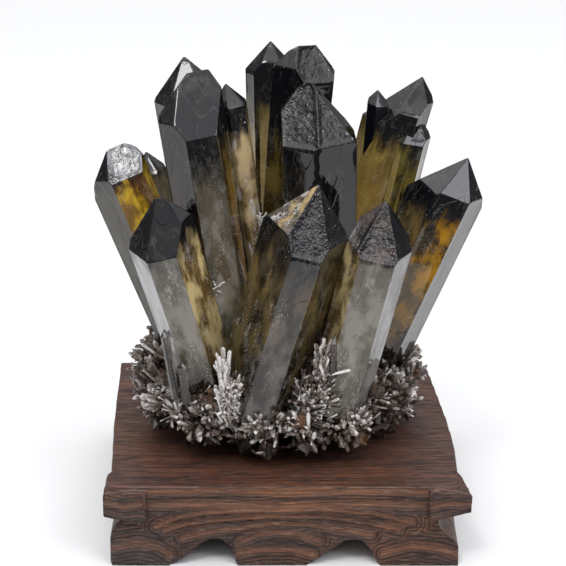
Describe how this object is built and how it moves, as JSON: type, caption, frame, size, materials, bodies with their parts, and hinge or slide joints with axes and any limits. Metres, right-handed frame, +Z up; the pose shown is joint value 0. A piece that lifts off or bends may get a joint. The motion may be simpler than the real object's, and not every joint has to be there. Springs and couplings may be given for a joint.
{
  "type": "smoky quartz crystal cluster",
  "caption": "Cluster of near-black smoky quartz crystals on a crust of small quartz crystals, resting on a carved wooden stand.",
  "frame": {"origin": "centre of the whole object's footprint box, on the surface the stand's feet rest on", "axes": "+Z up, -Y towards the stand's carved front, +X to the viewer's right"},
  "size_m": [0.1366, 0.1088, 0.1657],
  "materials": {
    "crystal_front_centre_quartz": "clear to near-black quartz, glossy faces with etched points",
    "crystal_front_left_quartz": "clear to near-black quartz, glossy faces with etched points",
    "crystal_front_right_quartz": "clear to near-black quartz, glossy faces with etched points",
    "crystal_right_quartz": "clear to near-black quartz, glossy faces with etched points",
    "crystal_left_quartz": "clear to near-black quartz, glossy faces with etched points",
    "crystal_tall_left_quartz": "clear to near-black quartz, glossy faces with etched points",
    "crystal_tall_centre_quartz": "clear to near-black quartz, glossy faces with etched points",
    "crystal_back_right_quartz": "clear to near-black quartz, glossy faces with etched points",
    "crystal_back_centre_quartz": "clear to near-black quartz, glossy faces with etched points",
    "crystal_back_left_quartz": "clear to near-black quartz, glossy faces with etched points",
    "crystal_left_back_quartz": "clear to near-black quartz, glossy faces with etched points",
    "crust_quartz": "milky grey-brown small quartz crystals",
    "carved_wood": "satin dark red-brown wood with fine pores"
  },
  "bodies": {
    "root": {"crystal_front_centre": "crystal_front_centre_quartz", "crystal_front_left": "crystal_front_left_quartz", "crystal_front_right": "crystal_front_right_quartz", "crystal_right": "crystal_right_quartz", "crystal_left": "crystal_left_quartz", "crystal_tall_left": "crystal_tall_left_quartz", "crystal_tall_centre": "crystal_tall_centre_quartz", "crystal_back_right": "crystal_back_right_quartz", "crystal_back_centre": "crystal_back_centre_quartz", "crystal_back_left": "crystal_back_left_quartz", "crystal_left_back": "crystal_left_back_quartz", "quartz_crust": "crust_quartz", "wooden_stand": "carved_wood"}
  },
  "joints": []
}
